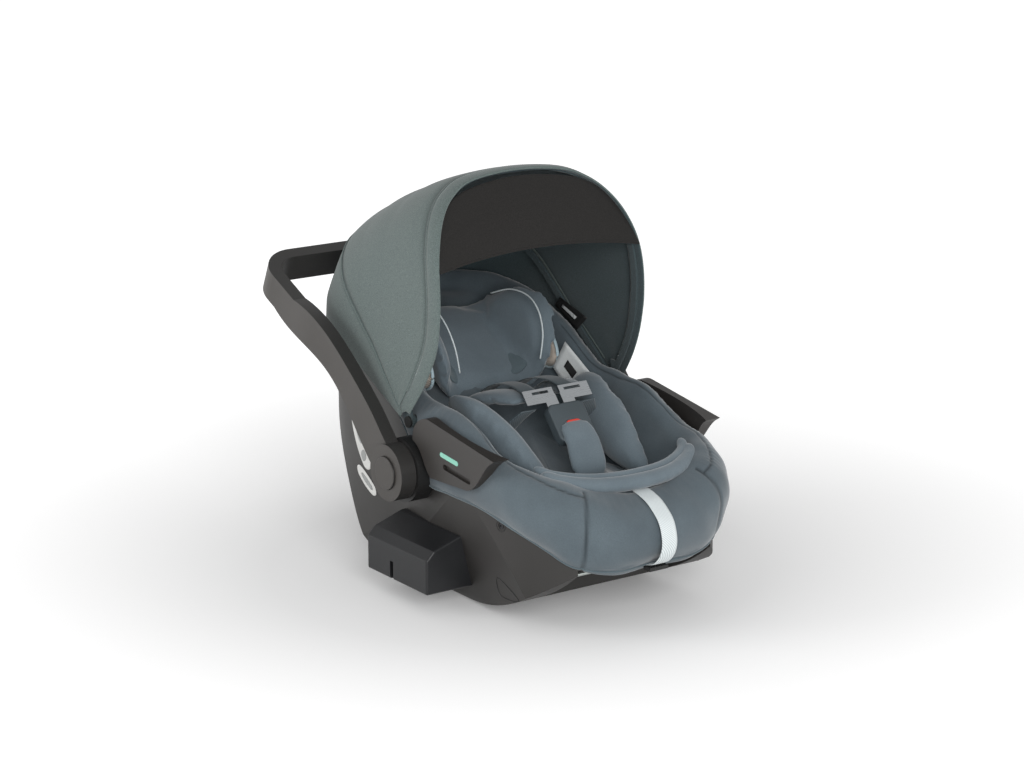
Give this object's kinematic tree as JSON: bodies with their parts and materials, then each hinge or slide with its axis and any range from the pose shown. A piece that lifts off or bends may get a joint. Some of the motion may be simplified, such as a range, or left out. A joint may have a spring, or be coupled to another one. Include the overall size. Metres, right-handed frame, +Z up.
{
  "type": "infant car seat",
  "caption": "Rocking infant car seat with a swinging carry handle, folding hood with sun visor, padded insert, five-point harness, belt guides and pushchair adapters.",
  "frame": {"origin": "on the floor under the middle of the object's bounding box", "axes": "+X to the occupant's left, +Y towards the head end, +Z up"},
  "size_m": [0.452, 0.7268, 0.5797],
  "materials": {
    "shell_plastic": "fine-textured charcoal polypropylene",
    "pan_plastic": "moulded black polypropylene",
    "handle_plastic": "fine-textured charcoal nylon",
    "adapter_plastic": "fine-textured black ABS",
    "guide_plastic": "satin brown-black ABS",
    "marker_plastic": "mint inlay",
    "liner_foam": "expanded polystyrene beads",
    "cover_fabric": "slate jersey",
    "mesh_fabric": "open spacer mesh",
    "hood_fabric": "heather teal-grey woven melange",
    "visor_fabric": "dark plain weave",
    "harness_webbing": "woven webbing",
    "adjuster_webbing": "pale silver webbing",
    "black_plastic": "black acetal",
    "red_plastic": "red ABS",
    "tongue_steel": "satin plated steel",
    "bar_steel": "zinc plated steel",
    "bolt_steel": "blackened steel"
  },
  "bodies": {
    "root": {"adapter_housing_left": "adapter_plastic", "adapter_housing_right": "adapter_plastic", "adjuster_housing": "black_plastic", "adjuster_strap": "adjuster_webbing", "bar_brackets": "shell_plastic", "belt_guide_left": "guide_plastic", "belt_guide_right": "guide_plastic", "buckle_body": "black_plastic", "crotch_anchor": "bolt_steel", "crotch_pad": "cover_fabric", "crotch_strap": "harness_webbing", "foam_liner": "liner_foam", "front_anchor_bar": "bar_steel", "guide_markers": "marker_plastic", "handle_axles": "bolt_steel", "hood_pivot_left": "black_plastic", "hood_pivot_right": "black_plastic", "hood_rear_panel": "hood_fabric", "insert_base": "cover_fabric", "insert_front_lip": "cover_fabric", "insert_side_pad_left": "cover_fabric", "insert_side_pad_right": "cover_fabric", "lap_strap_left": "harness_webbing", "lap_strap_right": "harness_webbing", "lever_housing": "shell_plastic", "pivot_housing_left": "shell_plastic", "pivot_housing_right": "shell_plastic", "rear_anchor_bar": "bar_steel", "seat_cover": "cover_fabric", "seat_pan": "pan_plastic", "seat_shell": "shell_plastic", "shell_screws": "bolt_steel", "shoulder_pad_left": "cover_fabric", "shoulder_pad_right": "cover_fabric", "shoulder_strap_left": "harness_webbing", "shoulder_strap_right": "harness_webbing", "strap_end_clip": "black_plastic"},
    "handle": {"handle_frame": "handle_plastic", "button_spring_right": "bolt_steel", "button_spring_left": "bolt_steel"},
    "hub_button_right": {"hub_button_right": "handle_plastic"},
    "hub_button_left": {"hub_button_left": "handle_plastic"},
    "hood_middle": {"middle_bow": "black_plastic", "hood_front_panel": "hood_fabric"},
    "hood_front": {"front_bow": "black_plastic", "hood_front_band": "hood_fabric"},
    "visor": {"sun_visor": "visor_fabric"},
    "headrest": {"head_pillow": "cover_fabric", "pillow_wing_right": "cover_fabric", "pillow_wing_left": "cover_fabric", "mesh_panel_right": "mesh_fabric", "mesh_panel_left": "mesh_fabric"},
    "buckle_release": {"buckle_button": "red_plastic"},
    "tongue_right": {"buckle_tongue_right": "tongue_steel"},
    "tongue_left": {"buckle_tongue_left": "tongue_steel"},
    "adjuster_release": {"adjuster_button": "black_plastic"},
    "back_lever": {"release_lever": "adapter_plastic"},
    "latch_right": {"adapter_latch_right": "adapter_plastic"},
    "latch_left": {"adapter_latch_left": "adapter_plastic"}
  },
  "joints": [
    {"name": "handle_swing", "type": "hinge", "parent": "root", "child": "handle", "pos_m": [0, -0.00704, 0.179], "axis": [1, 0, 0], "range_deg": [-50, 58]},
    {"name": "hub_button_right_press", "type": "slide", "parent": "handle", "child": "hub_button_right", "axis": [1, 0, 0], "range_m": [0, 0.004], "stiffness_N_per_m": 600, "deforming": ["button_spring_right"]},
    {"name": "hub_button_left_press", "type": "slide", "parent": "handle", "child": "hub_button_left", "axis": [-1, 0, 0], "range_m": [0, 0.004], "stiffness_N_per_m": 600, "deforming": ["button_spring_left"]},
    {"name": "hood_fold", "type": "hinge", "parent": "hood_middle", "child": "hood_front", "pos_m": [0, -0.00204, 0.244], "axis": [-1, 0, 0], "range_deg": [0, 42], "deforming": ["hood_front_panel"]},
    {"name": "hood_middle_fold", "type": "hinge", "parent": "root", "child": "hood_middle", "pos_m": [0, -0.00204, 0.244], "axis": [-1, 0, 0], "range_deg": [0, 12], "deforming": ["hood_rear_panel"]},
    {"name": "visor_flip", "type": "hinge", "parent": "hood_front", "child": "visor", "pos_m": [0, -0.00304, 0.57], "axis": [-1, 0, 0], "range_deg": [0, 75]},
    {"name": "headrest_height", "type": "slide", "parent": "root", "child": "headrest", "axis": [0, 0.8634, 0.5045], "range_m": [0, 0.04]},
    {"name": "buckle_button_press", "type": "slide", "parent": "root", "child": "buckle_release", "axis": [0, 0.7547, -0.6561], "range_m": [0, 0.003], "stiffness_N_per_m": 600},
    {"name": "tongue_right_release", "type": "slide", "parent": "root", "child": "tongue_right", "axis": [0, 0.6561, 0.7547], "range_m": [0, 0.022], "deforming": ["shoulder_strap_right", "lap_strap_right"]},
    {"name": "tongue_left_release", "type": "slide", "parent": "root", "child": "tongue_left", "axis": [0, 0.6561, 0.7547], "range_m": [0, 0.022], "deforming": ["shoulder_strap_left", "lap_strap_left"]},
    {"name": "adjuster_button_press", "type": "slide", "parent": "root", "child": "adjuster_release", "axis": [0, 0, -1], "range_m": [0, 0.003], "stiffness_N_per_m": 600},
    {"name": "release_lever_pull", "type": "slide", "parent": "root", "child": "back_lever", "axis": [0, 0.3907, 0.9205], "range_m": [0, 0.008], "stiffness_N_per_m": 600},
    {"name": "adapter_latch_right_slide", "type": "slide", "parent": "root", "child": "latch_right", "axis": [0, 1, 0], "range_m": [0, 0.005], "stiffness_N_per_m": 600},
    {"name": "adapter_latch_left_slide", "type": "slide", "parent": "root", "child": "latch_left", "axis": [0, 1, 0], "range_m": [0, 0.005], "stiffness_N_per_m": 600}
  ],
  "couplings": [
    {"joint": "hood_middle_fold", "follows": "hood_fold", "ratio": 0.28571},
    {"joint": "adapter_latch_right_slide", "follows": "release_lever_pull", "ratio": 0.6},
    {"joint": "adapter_latch_left_slide", "follows": "release_lever_pull", "ratio": 0.6}
  ]
}
